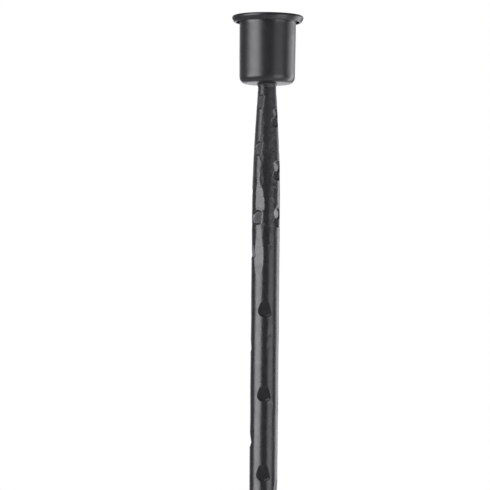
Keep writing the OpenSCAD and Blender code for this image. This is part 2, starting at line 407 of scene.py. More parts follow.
POLE_PAINT = ("satin_black", black_paint("pole paint", 0.30, 0.10, 0.5, scaled_above=POLE_TOP - 85))
CUP_PAINT = ("satin_black", black_paint("cup paint", 0.34, 0.035, 0.35))
PART_PAINT = ("satin_black", black_paint("fitting paint", 0.40, 0.06, 0.6))
STEEL = ("plain_steel", plated_steel())
BRASS = ("brass", aged_brass())
RUBBER = ("rubber", black_rubber())
WICK = ("wick_fibre", wick_fibre(height_of("wick")[1]))


# ---- hammered poles ----

# How finely the poles are drawn: finest over FINE_LEN at the upper one's top, and next within
# MARK_REACH of a deep mark
POLE_SEGMENTS = 132
FINE_LEN = 150
ROW_STEP = 1.9
MARK_ROW_STEP = 0.7
MARK_REACH = 8.5
CHAMFER = 0.5

# A blow: how far its edge is rounded, the place and width of its lip as shares of the hammer's radius,
# and how gently a shallow one ends
BLOW_EDGE = 0.12
LIP_AT = 1.12
LIP_WIDTH = 0.13
SHALLOW = {"wall": 0.6, "lip": 0.01}

# Limits of the deep marks' depth, slope up the pole, slope round it, and the hammer's radius
MARK_DEPTHS = (1.15, 1.35)
MARK_TILTS = (0.13, 0.18)
MARK_YAWS = (0.03, 0.08)
MARK_HALVES = (6.4, 6.9)


def press(radius, angle, z, facing, at_z, face, half, tilt=0.0, yaw=0.0, wall=0.1, lip=0.1):
    """Presses a hammer's flat face into a pole's surface.

    facing is the way the flat looks, face its distance from the axis at its middle, and tilt and yaw
    its slopes up the pole and round it. half is the hammer's radius, wall the share of it that is the
    blow's steep side, and lip how far the metal round the blow is pushed up."""
    off = np.mod(angle - facing + math.pi, TURN) - math.pi
    near = (np.abs(off) < 1.25) & (np.abs(z - at_z) < 2.2 * half)
    if not near.any():
        return radius
    r, off, up = radius[near], off[near], z[near] - at_z
    across = r * np.sin(off)
    cut = (face + tilt * up + yaw * across) / np.cos(off)
    out = np.hypot(across, up) / half
    inside = smooth_step((1 + wall / 2 - out) / wall)
    depth = r - smooth_min(r, cut, BLOW_EDGE)
    raised = lip * np.exp(-(((out - LIP_AT) / LIP_WIDTH) ** 2)) * np.clip(depth / 0.5, 0, 1)
    result = radius.copy()
    result[near] = r - depth * inside + raised * (1 - inside)
    return result


def forged(angle, z):
    """Radius of the upper tube before its hammer marks: round, and squared off towards its top."""
    share = np.clip(1 - (POLE_TOP - z) / FLATS_LEN, 0, 1)
    depth = POLE_R - (POLE_R - TOP_HALF_DEPTH) * share
    width = POLE_R - (POLE_R - TOP_HALF_WIDTH) * share**1.6
    power = 2 + 0.55 * smooth_step(share / 0.3)
    along = np.abs(np.cos(angle - FLATS_TURN)) / depth
    across = np.abs(np.sin(angle - FLATS_TURN)) / width
    return smooth_min((along**power + across**power) ** (-1 / power), np.full_like(share, POLE_R), 0.6)


def row(degrees, first, pitch, count):
    """A row of marks down a pole."""
    return [(degrees, first + pitch * i) for i in range(count)]


# Deep hammer marks on the straight tubes: degrees from the front, and distance below the cup on the
# upper tube or below the joint on the lower one
UPPER_MARKS = [(1, 208), (-1, 285), (0, 357), (2, 434), (-75, 155), (-101, 240), (-91, 326), (-88, 412.5),
               (80, 370), *row(180, 175, 80, 4), *row(130, 215, 80, 4)]
LOWER_MARKS = row(0, 100, 76, 7) + row(-90, 138, 82, 6) + row(180, 118, 80, 6) + row(90, 150, 80, 6)
# Glancing blows on the upper tube: degrees, distance below the cup, depth, the hammer's radius
GLANCES = [(-25, 106, 0.75, 10), (-25, 111, 1.05, 6), (-31, 157, 0.3, 19), (-31, 159, 0.6, 14),
           (-31, 160, 0.95, 9), (-31, 186, 0.12, 5), (-22, 225, 0.10, 3), (-27, 231, 0.12, 3),
           (-20, 310, 0.10, 3.5), (-25, 318, 0.12, 3), (-30, 392, 0.15, 7),
           (31, 262, 0.15, 6), (35, 330, 0.2, 8)]
# Marks on the corners of the taper: corner, distance below the cup, depth, the hammer's radius
CORNER_MARKS = [(0, 18, 1.0, 6.3), (0, 61, 1.1, 6.3), (0, 124, 1.2, 6.3),
                (1, 28, 1.3, 3.9), (1, 77, 1.7, 5.2), (1, 120, 1.5, 4.9),
                (2, 30, 0.9, 4.6), (2, 75, 1.1, 5.2), (2, 112, 1.0, 5.4),
                (3, 21, 0.9, 6.3), (3, 66, 1.0, 6.3), (3, 110, 1.0, 6.3)]
# The strikes that make such a mark: turned by, lower by, share of its depth, tilt, yaw, and the
# hammer's radius (0 for the mark's own). Marks on the right-hand corners are struck twice.
LEFT_STRIKES = [(-0.06, 0, 1, -0.06, 0.11, 0)]
RIGHT_STRIKES = [(0.02, 0, 1, -0.04, -0.04, 0), (-0.04, 8, 0.7, -0.02, 0.22, 4.4)]


def press_marks(radius, angle, z, marks, top, seed):
    """Deep marks, each a little different, and deepest at their lower left."""
    rng = np.random.default_rng(seed)
    for degrees, down in marks:
        radius = press(radius, angle, z, math.radians(degrees), top - down,
                       POLE_R - rng.uniform(*MARK_DEPTHS), tilt=rng.uniform(*MARK_TILTS),
                       yaw=rng.uniform(*MARK_YAWS), half=rng.uniform(*MARK_HALVES), wall=0.07)
    return radius


def press_glances(radius, angle, z):
    """Shallow blows on the upper tube, which widen or break its highlights."""
    for degrees, down, depth, half in GLANCES:
        radius = press(radius, angle, z, math.radians(degrees), CUP_Z - down, POLE_R + SPREAD - depth, half,
                       **SHALLOW)
    return radius


def press_corners(radius, angle, z):
    """Marks on the corners of the taper, deepest at their upper edge."""
    for corner, down, depth, half in CORNER_MARKS:
        at_z = CUP_Z - down
        facing = FLATS_TURN + (2 * corner - 1) * TURN / 8
        surface = forged(np.array(facing), np.array(at_z))
        lean = (forged(np.array(facing), np.array(at_z - 5)) - surface) / 5
        strikes = RIGHT_STRIKES if corner in (1, 2) else LEFT_STRIKES
        for turned_by, lower_by, share, tilt, yaw, own_half in strikes:
            radius = press(radius, angle, z, facing + turned_by, at_z - lower_by, surface - depth * share,
                           own_half or half, tilt=tilt - lean, yaw=yaw)
    return radius


def planish(radius, angle, z, seed, heights, count, depths, halves, slope):
    """Many shallow blows between two heights, which leave the faces mottled."""
    rng = np.random.default_rng(seed)
    for _ in range(count):
        at_z = rng.uniform(*heights)
        facing = FLATS_TURN + rng.integers(0, 4) * TURN / 4 + rng.uniform(-0.5, 0.5)
        surface = forged(np.array(facing), np.array(at_z)) + SPREAD
        radius = press(radius, angle, z, facing, at_z, surface - rng.uniform(*depths),
                       tilt=rng.uniform(-0.03, 0.03) - slope, yaw=rng.uniform(-0.05, 0.05),
                       half=rng.uniform(*halves), **SHALLOW)
    return radius


def pole_rings(heights, surface):
    """Rings of a pole's outside at the given heights."""
    angle, z = np.meshgrid(angles_round(POLE_SEGMENTS), heights)
    radius = surface(angle, z)
    points = np.stack([radius * np.sin(angle), -radius * np.cos(angle), z], axis=2)
    return list(points)


def shrunk(ring, by, z):
    """A ring moved in towards the axis and to another height."""
    flat = ring[:, :2]
    length = np.linalg.norm(flat, axis=1, keepdims=True)
    return np.column_stack([flat * (1 - by / length), np.full(len(ring), float(z))])


def upper_surface(angle, z):
    """Radius of the upper tube: swollen by its blows, rough on the taper and planished all over."""
    radius = forged(angle, z) + SPREAD * smooth_step((POLE_TOP + 40 - z) / 100)
    taper = smooth_step((z - (POLE_TOP - FINE_LEN)) / 40)
    radius = radius + ripple(angle, z, 11, (30, 90), 2) * 0.08 + ripple(angle, z, 12, (9, 24), 4) * 0.012
    fine = ripple(angle, z, 13, (5, 12), 9) * 0.03 + ripple(angle, z, 16, (2.5, 5), 14) * 0.02
    radius = radius + fine * taper
    radius = planish(radius, angle, z, 21, (POLE_TOP - FINE_LEN, POLE_TOP - 2), 240, (0.02, 0.12),
                     (2.2, 4.2), FLAT_SLOPE)
    radius = planish(radius, angle, z, 22, (JOINT_Z, POLE_TOP - 130), 60, (0.02, 0.09), (4, 9), 0)
    radius = press_corners(press_glances(radius, angle, z), angle, z)
    return press_marks(radius, angle, z, UPPER_MARKS, CUP_Z, 31)


def lower_surface(angle, z):
    """Radius of the lower tube, which is plainer."""
    radius = np.full_like(z, POLE_R + 0.05)
    radius = radius + ripple(angle, z, 14, (30, 90), 2) * 0.045 + ripple(angle, z, 15, (9, 24), 4) * 0.012
    return press_marks(radius, angle, z, LOWER_MARKS, JOINT_Z, 32)


def row_heights(low, high, marked):
    """Heights from low to high, close together near a marked one."""
    heights = [low]
    while heights[-1] < high - 1:
        near = np.abs(np.array(marked) - heights[-1]).min() < MARK_REACH
        heights.append(heights[-1] + (MARK_ROW_STEP if near else ROW_STEP))
    return np.array(heights + [high])


def cut_end(ring, z, back):
    """Rings that round off a pole's end at height z and open its bore. back is 1 if the pole is above
    the end and -1 if it is below."""
    return [shrunk(ring, CHAMFER / 2, z + 0.15 * back), shrunk(ring, CHAMFER, z),
            ring_at(BORE_R + 0.4, z, POLE_SEGMENTS), ring_at(BORE_R, z + 0.4 * back, POLE_SEGMENTS)]


def build_upper_pole():
    fine_from = POLE_TOP - FINE_LEN
    marked = [CUP_Z - down for _, down in UPPER_MARKS]
    heights = np.concatenate([row_heights(JOINT_Z + CHAMFER, fine_from, marked)[:-1],
                              np.linspace(fine_from, POLE_TOP, 235)])
    outside = pole_rings(heights, upper_surface)
    rings = [np.array([[0, 0, POLE_TOP]]), shrunk(outside[-1], 0.2, POLE_TOP)]
    rings += outside[::-1] + cut_end(outside[0], JOINT_Z, 1)
    bore_end = POLE_TOP - FLATS_LEN - 20
    rings += [ring_at(BORE_R, bore_end, POLE_SEGMENTS), ring_at(3.0, POLE_TOP - 12, POLE_SEGMENTS),
              np.array([[0, 0, POLE_TOP - 11.5]])]
    make_piece("hammered_upper_pole", [skin(rings)], "upper_section", ["upper_pole"], POLE_PAINT,
               weighted=False)


def build_lower_pole():
    marked = [JOINT_Z - down for _, down in LOWER_MARKS]
    outside = pole_rings(row_heights(LOWER_Z + CHAMFER, JOINT_Z - CHAMFER, marked), lower_surface)
    rings = [ring_at(BORE_R, LOWER_Z + 0.4, POLE_SEGMENTS), ring_at(BORE_R + 0.4, LOWER_Z, POLE_SEGMENTS),
             shrunk(outside[0], CHAMFER, LOWER_Z)]
    rings += outside + cut_end(outside[-1], JOINT_Z, -1)
    make_piece("hammered_lower_pole", [skin(rings, closed=True)], "lower_section", ["lower_pole"],
               POLE_PAINT, weighted=False)


# ---- cup ----

# The cup: its sheet, its wall and lower corner, how far its base bulges down, its rolled rim, which
# leans in below, and its neck
SHEET = 1.2
CUP_BASE_R = 25.4
CUP_MOUTH_R = 25.8
CUP_CORNER_R = 5.0
CUP_CORNER_RISE = 6.4
BASE_DROP = 0.45
ROLL_R = 2.1
CURL_R = 1.4
ROLL_FLANK = 2.9
ROLL_LEAN = 26
NECK_DROP = 7.5


def build_cup():
    """The cup's profile goes up its outside, round the rolled rim and down its inside."""
    height = RIM_Z - CUP_Z
    roll = (radius_of("cup") - ROLL_R, height - ROLL_R)
    lean = math.radians(ROLL_LEAN)
    curl = (roll[0] + (ROLL_R - CURL_R) * math.cos(lean) - ROLL_FLANK * math.sin(lean),
            roll[1] - (ROLL_R - CURL_R) * math.sin(lean) - ROLL_FLANK * math.cos(lean))
    neck_r = roll[0] - CUP_MOUTH_R
    neck = (roll[0], height - SHEET - NECK_DROP)
    corner = (CUP_BASE_R - CUP_CORNER_R, CUP_CORNER_RISE - BASE_DROP)
    side = np.linspace(0, 1, 24)[1:-1]
    outer_side = [(CUP_BASE_R + (CUP_MOUTH_R - CUP_BASE_R) * s, corner[1] + (neck[1] - corner[1]) * s)
                  for s in side]
    inner_side = [(r - SHEET, z) for r, z in reversed(outer_side)]
    profile = [(0, -BASE_DROP - 0.3), (9, -BASE_DROP - 0.3), (16, -BASE_DROP - 0.15)]
    profile += oval(corner, CUP_CORNER_R, CUP_CORNER_RISE, -90, 0, 14) + outer_side
    profile += oval(neck, neck_r, NECK_DROP, 180, 90, 14)
    profile += arc(roll, ROLL_R - SHEET, 90, -ROLL_LEAN, 12)[1:]
    profile += arc(curl, CURL_R - SHEET, -ROLL_LEAN, -140, 6)
    profile += arc(curl, CURL_R, -140, -ROLL_LEAN, 12)
    profile += arc(roll, ROLL_R, -ROLL_LEAN, 90, 18)
    profile += oval(neck, neck_r + SHEET, NECK_DROP + SHEET, 90, 180, 14)[1:]
    profile += inner_side + oval(corner, CUP_CORNER_R - SHEET, corner[1] - SHEET, 0, -90, 10)
    profile += [(12, SHEET), (0, SHEET)]

    def drawn(angle, r, z):
        """The slight unevenness of a drawn and painted cup."""
        uneven = ripple(angle, z, 41, (50, 120), 3) * 0.05 + ripple(angle, z, 42, (14, 30), 6) * 0.006
        return r + uneven * min(1, r / 20)

    make_piece("drawn_cup", [turned(profile, 192, drawn, at=(0, 0, CUP_Z))], "upper_section", ["cup"],
               CUP_PAINT)


def build_cup_weld():
    """A fillet weld that follows the squarish top of the pole."""
    segments = 192
    angles = angles_round(segments)
    top = forged(angles, np.full(segments, POLE_TOP)) + SPREAD
    toe = POLE_TOP - 1.6
    sunk, belly, flare = 0.15, 0.35, 1.7
    rings = [np.array([[0, 0, toe]])]
    for s in np.linspace(0, 1, 13):
        beads = 0.08 * np.cos(24 * angles + 3.5 * s + 1.2 * np.sin(3 * angles))
        beads = beads + 0.12 * np.cos(5 * angles + 2 * s)
        radius = top - sunk + beads * s * (1 - s) * 3 + belly * min(1, s / 0.3) + flare * s**3
        rings.append(ring_at(radius, toe + (CUP_Z - 0.01 - toe) * s, segments))
    rings.append(np.array([[0, 0, CUP_Z]]))
    make_piece("cup_weld_bead", [skin(rings)], "upper_section", ["cup_weld"], PART_PAINT)


# ---- joint ----

CLAMP_Z = sum(height_of("clamp_nut")) / 2


def build_sleeve():
    low, high, r = span_of("joining_sleeve")
    wall = 2
    tube = rounded((r - wall, low + 0.5), (r - 1.5, low, 0.2), (r - 1.2, low, 0.2), (r, low + 1.8, 0.6),
                   (r, (low + high) / 2), (r, high - 1.0, 0.3), (r - 0.8, high, 0.2), (r - 1.6, high, 0.2),
                   (r - wall, high - 0.5))
    make_piece("sleeve_tube", [turned(tube, 96)], "upper_section", ["joining_sleeve"], STEEL)


def build_rivets():
    (_, low_y, low_z), (_, high_y, high_z) = box_mm("sleeve_rivets")
    head_r = radius_of("sleeve_rivets")
    shank = 2.5
    head_y = POLE_R + 0.25
    rivet = rounded((0, low_y), (shank, low_y, 0.3), (shank, head_y, 0.1), (head_r, head_y, 0.2),
                    (head_r - 0.1, head_y + 0.9, 0.5), (head_r * 0.55, high_y - 0.25, 2.0), (0, high_y))

    def struck(angle, r, z):
        """A rivet's head isn't quite round."""
        return r * (1 + 0.012 * np.cos(3 * angle + z) + 0.01 * np.cos(5 * angle))

    heights = (low_z + head_r, high_z - head_r)
    parts = [turned(rivet, 48, struck, axis=(0, 1, 0), at=(0, 0, z)) for z in heights]
    make_piece("domed_rivets", parts, "upper_section", ["sleeve_rivets"], PART_PAINT)


def build_clamp_nut():
    """A hex nut whose foot is cut to the tube and whose outer corners are chamfered."""
    (_, _, low_z), (_, high_y, high_z) = box_mm("clamp_nut")
    flats = (high_z - low_z) / 2
    bore = 4.05
    segments = 144
    angles = angles_round(segments)

    def nut_ring(radius, y=None):
        """A ring at y, or on the tube."""
        x, z = radius * np.cos(angles), radius * np.sin(angles)
        foot = np.sqrt(POLE_R**2 - x**2) if y is None else np.full(segments, y)
        return np.stack([x, foot, CLAMP_Z + z], axis=1)

    def hexagon(limit):
        """Radius of the hexagon, never over the chamfer's, which is limit times the flats'."""
        corner = np.mod(angles, TURN / 6) - TURN / 12
        sides = smooth_min(flats / np.cos(corner), np.full(segments, flats * 1.135), 0.25)
        return np.minimum(sides, flats * limit)

    rings = [nut_ring(bore), nut_ring(hexagon(1.16))]
    for down, limit in ((1.3, 1.16), (0.8, 1.12), (0.35, 1.06), (0.06, 0.99), (0, 0.95)):
        rings.append(nut_ring(hexagon(limit), high_y - down))
    rings += [nut_ring(bore + 0.7, high_y), nut_ring(bore, high_y - 0.7)]
    make_piece("hex_clamp_nut", [skin(rings, closed=True)], "lower_section", ["clamp_nut"], PART_PAINT)


BAR_R = 2.5


def build_clamp_screw():
    (_, low_y, _), (_, high_y, _) = box_mm("clamp_screw")
    head_r = radius_of("clamp_screw")
    head_y = high_y - 12
    shaft = 4.0

    def cut_thread(angle, r, y):
        """A helical groove on the shaft, but not on the head."""
        if y > head_y - 0.4 or r < shaft - 0.1:
            return r
        wave = np.abs(np.mod(angle / TURN + y / 1.25, 1) - 0.5) * 2
        return r - 0.55 * (1 - wave)

    screw = [(0, low_y), (2.6, low_y), (3.2, low_y + 0.3)]
    screw += [(shaft, y) for y in np.arange(low_y + 1.0, head_y - 0.3, 0.14)]
    screw += rounded((3.4, head_y - 0.2), (3.4, head_y), (head_r - 0.7, head_y, 0.15),
                     (head_r, head_y + 0.7, 0.3), (head_r, head_y + 2.6, 0.2),
                     (head_r - 0.5, head_y + 3, 0.3), (head_r, head_y + 3.4, 0.2),
                     (head_r, high_y - 1.2, 0.6), (head_r - 1.4, high_y, 0.5), (2.2, high_y, 0.3),
                     (1.6, high_y - 0.5, 0.3), (0, high_y - 0.6))
    shape = turned(screw, 72, cut_thread, axis=(0, 1, 0), at=(0, 0, CLAMP_Z))
    piece = make_piece("clamp_screw_head", [shape], "screw", ["clamp_screw"], STEEL, weighted=False)
    (_, bar_low, _), (_, bar_high, _) = box_mm("tommy_bar")
    drill_hole(piece, (bar_low + bar_high) / 2, CLAMP_Z, BAR_R + 0.05)
    even_shading(piece)


def drill_hole(piece, y, z, radius):
    """Drills a hole along X right through a piece."""
    segments = 48
    reach = (-12, 12)
    rings = [placed(ring_at(radius, x, segments), (1, 0, 0), (0, y, z)) for x in reach]
    ends = [placed(np.array([[0, 0, x]]), (1, 0, 0), (0, y, z)) for x in reach]
    verts, faces = skin([ends[0], *rings, ends[1]])
    drill = new_object("drill", (verts * MM).tolist(), faces)
    cut = piece.modifiers.new("drill", "BOOLEAN")
    cut.operation = "DIFFERENCE"
    cut.solver = "EXACT"
    cut.object = drill
    made = bpy.data.meshes.new_from_object(piece.evaluated_get(bpy.context.evaluated_depsgraph_get()))
    piece.modifiers.remove(cut)
    piece.data = made
    bpy.data.objects.remove(drill)


def build_tommy_bar():
    """A loose rod with a ball on each end."""
    (_, low_y, _), (high_x, high_y, _) = box_mm("tommy_bar")
    ball = (high_y - low_y) / 2
    middle = high_x - ball
    neck = middle - math.sqrt(ball**2 - BAR_R**2)
    half = [(BAR_R, s * neck) for s in np.linspace(0, 1, 6)[:-1]]
    half += [(ball * math.sin(t), middle - ball * math.cos(t))
             for t in np.linspace(math.asin(BAR_R / ball), math.pi, 16)[:-1]]
    half += [(0, high_x)]
    bar = [(r, -z) for r, z in reversed(half)] + half[1:]

    def peened(angle, r, z):
        """The balls are a little uneven."""
        return r * (1 + 0.02 * np.cos(4 * angle + z) * (abs(z) > neck))

    rod = turned(bar, 56, peened, axis=(1, 0, 0), at=(0, (low_y + high_y) / 2, CLAMP_Z))
    make_piece("tommy_bar_rod", [rod], "bar", ["tommy_bar"], STEEL)


# ---- foot and spike ----

SPIKE_HOLE_R = 4.52


def build_bottom_plug():
    low, high = height_of("bottom_plug")
    fit_r = BORE_R - 0.05
    plug = rounded((SPIKE_HOLE_R, low), (POLE_R - 0.5, low, 0.1), (POLE_R, low + 0.5, 0.2),
                   (POLE_R, LOWER_Z - 0.4, 0.2), (POLE_R - 0.4, LOWER_Z, 0.1), (fit_r, LOWER_Z, 0.1),
                   (fit_r, high - 1.2, 0.3), (BORE_R - 1.2, high, 0.2), (SPIKE_HOLE_R, high))
    make_piece("turned_bottom_plug", [turned(plug, 96)], "lower_section", ["bottom_plug"], PART_PAINT)


def build_plug_weld():
    """A hollow fillet round the plug, with its ripples."""
    low, high = height_of("plug_weld")
    width = radius_of("plug_weld") - POLE_R
    weld = [(POLE_R, low + 0.02), (POLE_R + width * 0.96, low + 0.02)]
    weld += [(POLE_R + width * (1 - math.sin(t)) * 0.96, low + width * (1 - math.cos(t)) + 0.15)
             for t in np.linspace(0.06, math.pi / 2 - 0.06, 9)]
    weld += [(POLE_R, high)]

    def beaded(angle, r, z):
        out = (r - POLE_R) / width
        wave = 0.22 * np.cos(40 * angle + 5 * out + 0.8 * np.sin(4 * angle)) + 0.15 * np.cos(3 * angle)
        return r + np.clip(out, 0, 1) * (1 - out * 0.5) * wave - 0.25 * max(0, out)

    make_piece("plug_weld_bead", [turned(weld, 240, beaded)], "lower_section", ["plug_weld"], PART_PAINT)


def build_foot_plate():
    """A plate with rounded ends, a spike hole and ribs pressed across it for grip."""
    (_, _, low_z), (end, half_w, high_z) = box_mm("foot_plate")
    segments = 360
    across = half_w / np.maximum(np.abs(np.cos(angles_round(segments))), 1e-6)
    rim = smooth_min(across, np.full(segments, end), 5.0)
    edge = 1.2
    rib_pitch, rib_depth = 6.0, 0.55

    def plate_ring(share, inset, z):
        """A ring at a share of the way from the hole to the plate's rim, which is inset."""
        return ring_at(SPIKE_HOLE_R + (rim - inset - SPIKE_HOLE_R) * share, z, segments)

    rings = [plate_ring(0, 0, low_z + 0.3), plate_ring(0.004, 0, low_z)]
    rings += [plate_ring(s, edge, low_z) for s in np.linspace(0.05, 1, 12)]
    for t in np.linspace(0, math.pi / 2, 6)[1:]:
        rings.append(plate_ring(1, edge * (1 - math.sin(t)), low_z + edge * (1 - math.cos(t))))
    for t in np.linspace(0, math.pi / 2, 6):
        rings.append(plate_ring(1, edge * (1 - math.cos(t)), high_z - edge * (1 - math.sin(t))))
    rings += [plate_ring(s, edge, high_z) for s in np.linspace(1, 0.02, 70)[1:]]
    rings += [plate_ring(0, 0, high_z - 0.3)]
    for ring in rings:
        top = ring[:, 2] > high_z - 0.01
        x, y = np.abs(ring[:, 0]), np.abs(ring[:, 1])
        inside = (smooth_step((half_w - 4 - y) / 1.5) * smooth_step((x - 21) / 1.5)
                  * smooth_step((end - 5 - x) / 1.5))
        groove = smooth_step((np.abs(np.mod(x, rib_pitch) - rib_pitch / 2) - 1.3) / 1.2)
        ring[:, 2] = ring[:, 2] - np.where(top, rib_depth * groove * inside, 0)
    make_piece("foot_step_plate", [skin(rings, closed=True)], "lower_section", ["foot_plate"], PART_PAINT)


def point_outline(tip_z, tip_r, tip_len, r, length, steps):
    """A forged point above its small flat tip."""
    return [(tip_r + (r - tip_r) * s**0.92, tip_z + tip_len + (length - tip_len) * s)
            for s in np.linspace(0, 1, steps)[1:]]


def build_spike():
    """A round rod with a forged point, thinner where it goes through the plate and plug."""
    low, high, r = span_of("ground_spike")
    point = 54.0
    shank = 4.5
    shoulder = -0.6
    rod = [(0, low), (0.6, low + 0.15), (1.0, low + 0.7)] + point_outline(low, 1, 0.7, r, point, 34)
    rod += [(r, z) for z in np.linspace(low + point, shoulder, 40)[1:-1]]
    rod += rounded((r, shoulder), (r - 0.6, 0, 0.1), (shank, 0, 0.1), (shank, high - 2.0),
                   (shank - 0.2, high - 0.8, 0.4), (shank - 1.6, high, 0.4), (0, high))

    def drawn_out(angle, radius, z):
        """Faint hammer flats on the point."""
        if z > 0 or radius < 0.5:
            return radius
        share = float(smooth_step((low + point + 6 - z) / 20))
        flats = 0.045 * share * radius * np.cos(4 * angle)
        return radius + flats - 0.05 * share * radius + ripple(angle, z, 51, (9, 26), 4, 8) * 0.035

    make_piece("forged_ground_spike", [turned(rod, 64, drawn_out)], "lower_section", ["ground_spike"],
               PART_PAINT)


def build_side_tines():
    (_, _, low), (high_x, r, _) = box_mm("side_tines")
    point = 26.0
    tine = [(0, low), (0.5, low + 0.12), (0.8, low + 0.5)] + point_outline(low, 0.8, 0.5, r, point, 20)
    tine += [(r, z) for z in np.linspace(low + point, 0, 24)[1:]] + [(0, 0)]
    parts = []
    for side in (-1, 1):

        def forged_tine(angle, radius, z):
            """Each tine is uneven in its own way."""
            if radius < 0.5 or z > -1:
                return radius
            return radius * 0.985 + ripple(angle, z, 52 + side, (9, 22), 3, 8) * 0.03

        parts.append(turned(tine, 48, forged_tine, at=(side * (high_x - r), 0, 0)))
    make_piece("forged_side_tines", parts, "lower_section", ["side_tines"], PART_PAINT)


# ---- oil lamp ----


def build_canister():
    """The oil reservoir, with two ribs pressed round it."""
    low, high, r = span_of("canister")
    wall = 0.8
    foot_z = low + 3.2
    rib_depth = 0.5
    rib_heights = (10, 24)

    def wall_at(radius):
        """The wall's outline going up."""
        points = []
        for z in np.linspace(foot_z, high - 1, 60):
            dent = sum(math.exp(-(((z - low - at) / 1.1) ** 2)) for at in rib_heights)
            points.append((radius - rib_depth * dent, z))
        return points

    outside = rounded((0, low + 0.5), (16.5, low + 0.5, 0.4), (17.5, low, 0.4), (r, low, 3.0), (r, foot_z))
    inside = rounded((r - wall, foot_z), (r - wall, low + wall, 2.2), (0, low + wall + 0.5))
    outline = outside[:-1] + wall_at(r) + [(r, high), (r - wall, high)] + wall_at(r - wall)[::-1] + inside[1:]
    make_piece("canister_shell", [turned(outline, 128)], "lamp", ["canister"], STEEL)


def build_canister_top():
    """The reservoir's shoulder, from its rolled seam up to its threaded neck."""
    low, high = height_of("canister_top")
    r = radius_of("canister")
    seam = radius_of("canister_top")
    neck = 12.0
    bore = neck - 1
    outline = rounded((bore, low + 2.2, 0.5), (r - 1.6, low, 0.8), (seam - 0.45, low, 0.4),
                      (seam, low + 0.5, 0.4), (seam, low + 1.2, 0.5), (seam - 0.9, low + 1.8, 0.6),
                      (seam - 1.9, low + 1.3, 0.5), (r - 4, low + 1.9, 1.5), (neck + 1.4, low + 3.1, 0.8),
                      (neck, low + 3.5, 0.5))
    outline += [(neck, z) for z in np.arange(low + 3.7, high - 0.5, 0.16)]
    outline += rounded((neck, high - 0.4), (neck - 0.4, high, 0.15), (bore, high, 0.15), (bore, high - 0.6))

    def rolled_thread(angle, radius, z):
        """A thread on the neck that starts and ends gently."""
        if abs(radius - neck) > 0.01 or z > high - 0.45:
            return radius
        wave = np.cos(angle - TURN * (z - low) / 2.0)
        share = float(smooth_step((z - low - 3.7) / 0.6) * smooth_step((high - 0.6 - z) / 0.6))
        return radius + share * 0.5 * smooth_step((wave + 0.2) / 1.2)

    make_piece("canister_shoulder", [turned(outline, 160, rolled_thread)], "lamp", ["canister_top"], STEEL)


def build_gasket():
    low, high, r = span_of("gasket")
    bore = 9
    outline = rounded((bore, low + 0.2), (bore + 0.2, low, 0.1), (r - 0.2, low, 0.1), (r, low + 0.25, 0.1),
                      (r, high - 0.25, 0.1), (r - 0.2, high, 0.1), (bore + 0.2, high, 0.1),
                      (bore, high - 0.2))
    make_piece("gasket_ring", [turned(outline, 96)], "burner", ["gasket"], RUBBER)


def build_wick_holder():
    """A disc with a groove round its middle."""
    tube_r = radius_of("wick_tube")
    low, high, r = span_of("wick_holder")
    outline = rounded((tube_r, low), (r, low, 0.15), (r, high, 0.3), (7.9, high, 0.2),
                      (7.2, high - 0.35, 0.2), (6.6, high, 0.2), (tube_r, high))
    make_piece("wick_holder_disc", [turned(outline, 96)], "burner", ["wick_holder"], STEEL)


def build_wick_tube():
    low, high, tube_r = span_of("wick_tube")
    bore = tube_r - 1
    outline = rounded((bore, low + 0.3), (bore + 0.3, low, 0.1), (tube_r - 0.3, low, 0.1),
                      (tube_r, low + 0.4, 0.1), (tube_r, high - 1.4, 0.3), (tube_r - 0.12, high - 0.9, 0.3),
                      (tube_r, high - 0.5, 0.2), (tube_r - 0.2, high, 0.15), (bore + 0.25, high, 0.15),
                      (bore, high - 0.3))
    make_piece("wick_tube_brass", [turned(outline, 80)], "burner", ["wick_tube"], BRASS)


def build_wick():
    low, high, wick_r = span_of("wick")

    def braid(angle, r, z):
        """Two sets of strands that cross, and a frayed top."""
        one = np.abs(np.cos(4 * angle + z * 1.1))
        other = np.abs(np.cos(4 * angle - z * 1.1))
        fray = float(smooth_step((z - high + 1.8) / 1.8))
        return r * (0.9 + 0.09 * np.maximum(one, other)) + 0.25 * fray * (np.cos(11 * angle + 3 * z) - 1)

    outline = [(0, low), (wick_r, low + 0.2)] + [(wick_r, z) for z in np.arange(low + 0.5, high - 0.7, 0.3)]
    outline += [(wick_r, high - 0.5), (wick_r * 0.8, high - 0.1), (wick_r * 0.5, high - 0.35),
                (0, high - 0.2)]
    make_piece("braided_wick", [turned(outline, 96, braid)], "burner", ["wick"], WICK)


def build_screw_ring():
    """A knurled ring that reaches in over the wick holder."""
    low, high, r = span_of("screw_ring")
    bore = 12.75
    hole = 8.6
    seat = high - 1.4
    teeth = 36
    outline = rounded((bore, low + 0.4), (bore + 0.4, low, 0.15), (r - 0.9, low, 0.2),
                      (r - 0.4, low + 0.4, 0.3), (r - 0.4, low + 1.0, 0.2), (r, low + 1.3, 0.1))
    outline += [(r, z) for z in np.linspace(low + 1.5, high - 2.0, 10)]
    outline += rounded((r, high - 1.8), (r - 0.5, high - 1.5, 0.2), (r - 0.5, high - 0.9, 0.4),
                       (r - 1.6, high, 0.6), (hole + 0.5, high, 0.3), (hole, high - 0.5, 0.2),
                       (hole, seat, 0.1), (bore, seat, 0.2), (bore, low + 0.4))[:-1]

    def knurled(angle, radius, z):
        """Teeth on the outermost face, fading out at its ends."""
        if abs(radius - r) > 0.01:
            return radius
        share = float(smooth_step((z - low - 1.2) / 0.4) * smooth_step((high - 1.7 - z) / 0.4))
        groove = np.abs(np.cos(teeth / 2 * angle)) ** 1.4
        return radius - 0.45 * share * (1 - groove)

    make_piece("knurled_screw_ring", [turned(outline, teeth * 12, knurled)], "ring", ["screw_ring"], BRASS)


